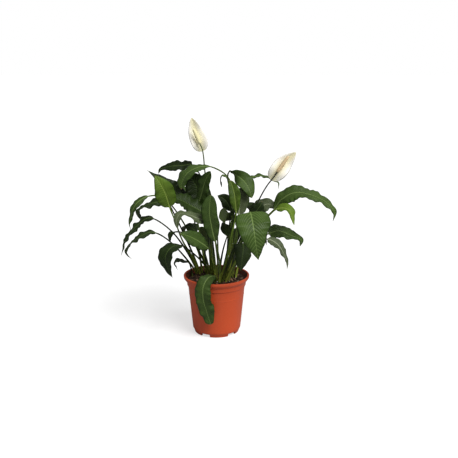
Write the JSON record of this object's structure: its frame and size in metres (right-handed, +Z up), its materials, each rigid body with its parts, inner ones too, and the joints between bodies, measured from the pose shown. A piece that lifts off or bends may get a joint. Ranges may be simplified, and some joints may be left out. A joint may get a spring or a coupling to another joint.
{
  "type": "potted peace lily",
  "caption": "Bushy plant of arching pointed leaves on thin stalks with upright white hooded flowers, standing in a tapered terracotta-coloured growers' pot full of soil.",
  "frame": {"origin": "centre of the pot's underside, on the surface that it stands on", "axes": "+Z up, -Y the front, +X to the right as seen from the front"},
  "size_m": [0.5356, 0.4, 0.5491],
  "materials": {
    "terracotta_plastic": "satin, terracotta-coloured",
    "peat": "rough, damp, crumbly",
    "leaf_green_dark": "semi-gloss",
    "leaf_green": "semi-gloss",
    "leaf_green_young": "semi-gloss",
    "leaf_green_underside": "satin",
    "stalk_green": "satin",
    "spathe_cream": "soft, faintly waxy",
    "spadix_straw": "fine, knobbly, matt"
  },
  "bodies": {
    "root": {"pot": "terracotta_plastic", "potting_soil": "peat", "leaf_left_bright": "leaf_green_young", "leaf_left_behind": "leaf_green_dark", "leaf_left_middle": "leaf_green_dark", "leaf_left_grey": "leaf_green_underside", "leaf_left_arching": "leaf_green_dark", "leaf_left_low_arching": "leaf_green_dark", "leaf_far_left": "leaf_green", "leaf_left_curled": "leaf_green_dark", "leaf_left_small": "leaf_green_dark", "leaf_left_drooping": "leaf_green_dark", "leaf_left_rim": "leaf_green_dark", "leaf_top_arching": "leaf_green", "leaf_top_left": "leaf_green_dark", "leaf_top_hanging": "leaf_green", "leaf_centre_upright": "leaf_green", "leaf_centre_behind": "leaf_green_dark", "leaf_front_upright": "leaf_green", "leaf_front_left": "leaf_green", "leaf_over_rim": "leaf_green", "leaf_right_arching": "leaf_green", "leaf_right_young": "leaf_green_young", "leaf_right_sheen": "leaf_green", "leaf_right_pale": "leaf_green_underside", "leaf_front_broad": "leaf_green", "leaf_top_right": "leaf_green", "leaf_right_veined": "leaf_green_underside", "leaf_right_narrow": "leaf_green_young", "leaf_right_behind": "leaf_green_underside", "leaf_right_round": "leaf_green_dark", "leaf_back_wavy": "leaf_green", "leaf_right_hanging": "leaf_green_dark", "leaf_centre_pointed": "leaf_green_dark", "leaf_centre_drooping": "leaf_green_dark", "leaf_centre_low": "leaf_green_dark", "leaf_back_left_high": "leaf_green", "leaf_back_middle": "leaf_green", "leaf_back_right_high": "leaf_green_dark", "leaf_back_right_low": "leaf_green", "leaf_back_left_low": "leaf_green_dark", "leaf_back_low": "leaf_green_dark", "flower_left_stalk": "stalk_green", "flower_left_spathe": "spathe_cream", "flower_left_spadix": "spadix_straw", "flower_right_stalk": "stalk_green", "flower_right_spathe": "spathe_cream", "flower_right_spadix": "spadix_straw"}
  },
  "joints": []
}
